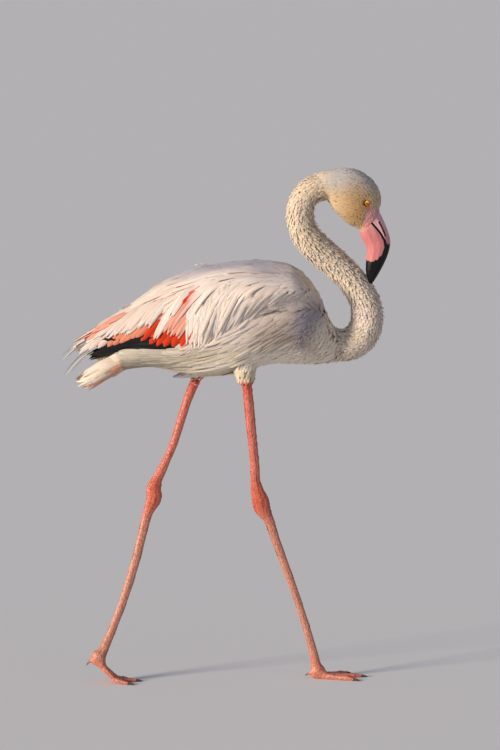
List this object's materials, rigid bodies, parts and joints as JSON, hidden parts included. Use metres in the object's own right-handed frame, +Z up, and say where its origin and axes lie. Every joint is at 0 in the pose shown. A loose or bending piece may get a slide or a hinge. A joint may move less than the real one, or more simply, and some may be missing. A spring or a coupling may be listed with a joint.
{
  "type": "greater flamingo",
  "caption": "Life-size walking flamingo with an S-shaped neck, a bent bill held low, folded wings with a black and coral edge, and long bare pink legs, as a still display animal.",
  "frame": {"origin": "on the floor, under the middle of the bounding box", "axes": "+X towards the head, +Y to the bird's left, +Z up"},
  "size_m": [0.5788, 0.174, 0.8973],
  "materials": {
    "plumage": "soft small feathers, cream white with a faint pink tint",
    "wing_feathers": "smooth overlapping vanes, white and pale pink with coral patches",
    "black_feathers": "stiff black flight feathers with a slight sheen",
    "leg_skin": "bare scaly skin, salmon pink, slightly glossy",
    "bill_horn": "smooth pink horn with a black tip",
    "eye": "wet clear cornea over a yellow iris",
    "claw_horn": "dull black horn"
  },
  "bodies": {
    "root": {"trunk": "plumage", "neck_lower": "plumage", "neck_middle": "plumage", "neck_upper": "plumage", "head": "plumage", "tail": "wing_feathers", "wing_left": "wing_feathers", "wing_right": "wing_feathers", "flight_feathers_left": "black_feathers", "flight_feathers_right": "black_feathers", "thigh_left": "plumage", "thigh_right": "plumage", "shin_left": "leg_skin", "shin_right": "leg_skin", "tarsus_left": "leg_skin", "tarsus_right": "leg_skin", "foot_left": "leg_skin", "foot_right": "leg_skin", "bill_upper": "bill_horn", "bill_lower": "bill_horn", "eye_left": "eye", "eye_right": "eye", "claw_outer_left": "claw_horn", "claw_middle_left": "claw_horn", "claw_inner_left": "claw_horn", "claw_hind_left": "claw_horn", "claw_outer_right": "claw_horn", "claw_middle_right": "claw_horn", "claw_inner_right": "claw_horn", "claw_hind_right": "claw_horn"}
  },
  "joints": []
}
